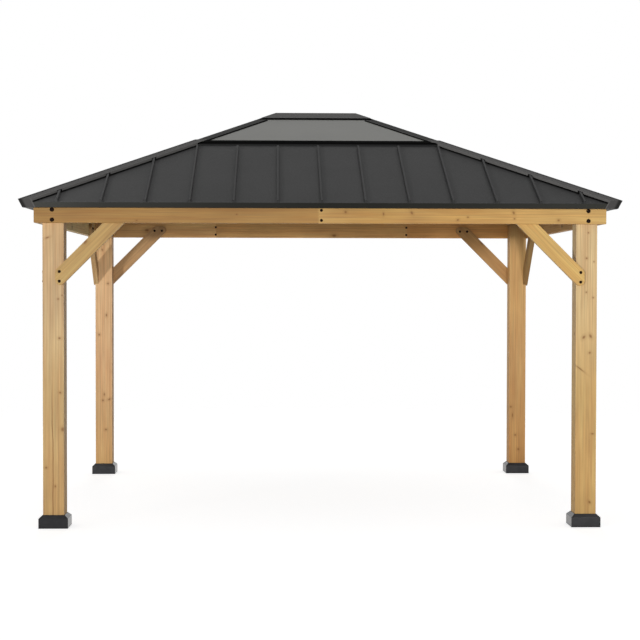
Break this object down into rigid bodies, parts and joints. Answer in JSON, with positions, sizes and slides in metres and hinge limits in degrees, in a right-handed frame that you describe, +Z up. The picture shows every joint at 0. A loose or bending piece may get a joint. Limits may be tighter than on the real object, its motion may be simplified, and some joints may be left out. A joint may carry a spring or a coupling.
{
  "type": "garden gazebo",
  "caption": "Open garden gazebo with cedar posts, braced beams and a hipped dark steel roof that has standing seams and a tinted skylight at the top.",
  "frame": {"origin": "middle of the plan on the ground, under the ridge", "axes": "+X to the right along the longer eave, -Y to the front, +Z up"},
  "size_m": [3.9666, 3.3566, 2.9318],
  "materials": {
    "cedar": "planed cedar with a clear oil finish",
    "base_plastic": "matt charcoal",
    "roof_steel": "satin charcoal paint",
    "trim_steel": "satin black paint",
    "cap_steel": "satin grey paint",
    "tinted_pane": "smoked sheet, nearly opaque"
  },
  "bodies": {
    "root": {"post_front_left": "cedar", "post_front_right": "cedar", "post_rear_left": "cedar", "post_rear_right": "cedar", "post_base_front_left": "base_plastic", "post_base_front_right": "base_plastic", "post_base_rear_left": "base_plastic", "post_base_rear_right": "base_plastic", "front_braces": "cedar", "right_braces": "cedar", "rear_braces": "cedar", "left_braces": "cedar", "front_beam": "cedar", "right_beam": "cedar", "rear_beam": "cedar", "left_beam": "cedar", "front_beam_lining": "cedar", "right_beam_lining": "cedar", "rear_beam_lining": "cedar", "left_beam_lining": "cedar", "hip_rafter_front_left": "cedar", "hip_rafter_front_right": "cedar", "hip_rafter_rear_left": "cedar", "hip_rafter_rear_right": "cedar", "ridge_board": "cedar", "purlins": "cedar", "common_rafters": "cedar", "front_roof_panel": "roof_steel", "right_roof_panel": "roof_steel", "rear_roof_panel": "roof_steel", "left_roof_panel": "roof_steel", "front_fascia": "trim_steel", "right_fascia": "trim_steel", "rear_fascia": "trim_steel", "left_fascia": "trim_steel", "hip_cap_front_left": "cap_steel", "hip_cap_front_right": "cap_steel", "hip_cap_rear_left": "cap_steel", "hip_cap_rear_right": "cap_steel", "skylight_frame": "trim_steel", "front_skylight": "tinted_pane", "right_skylight": "tinted_pane", "rear_skylight": "tinted_pane", "left_skylight": "tinted_pane", "ridge_cap": "cap_steel"}
  },
  "joints": []
}
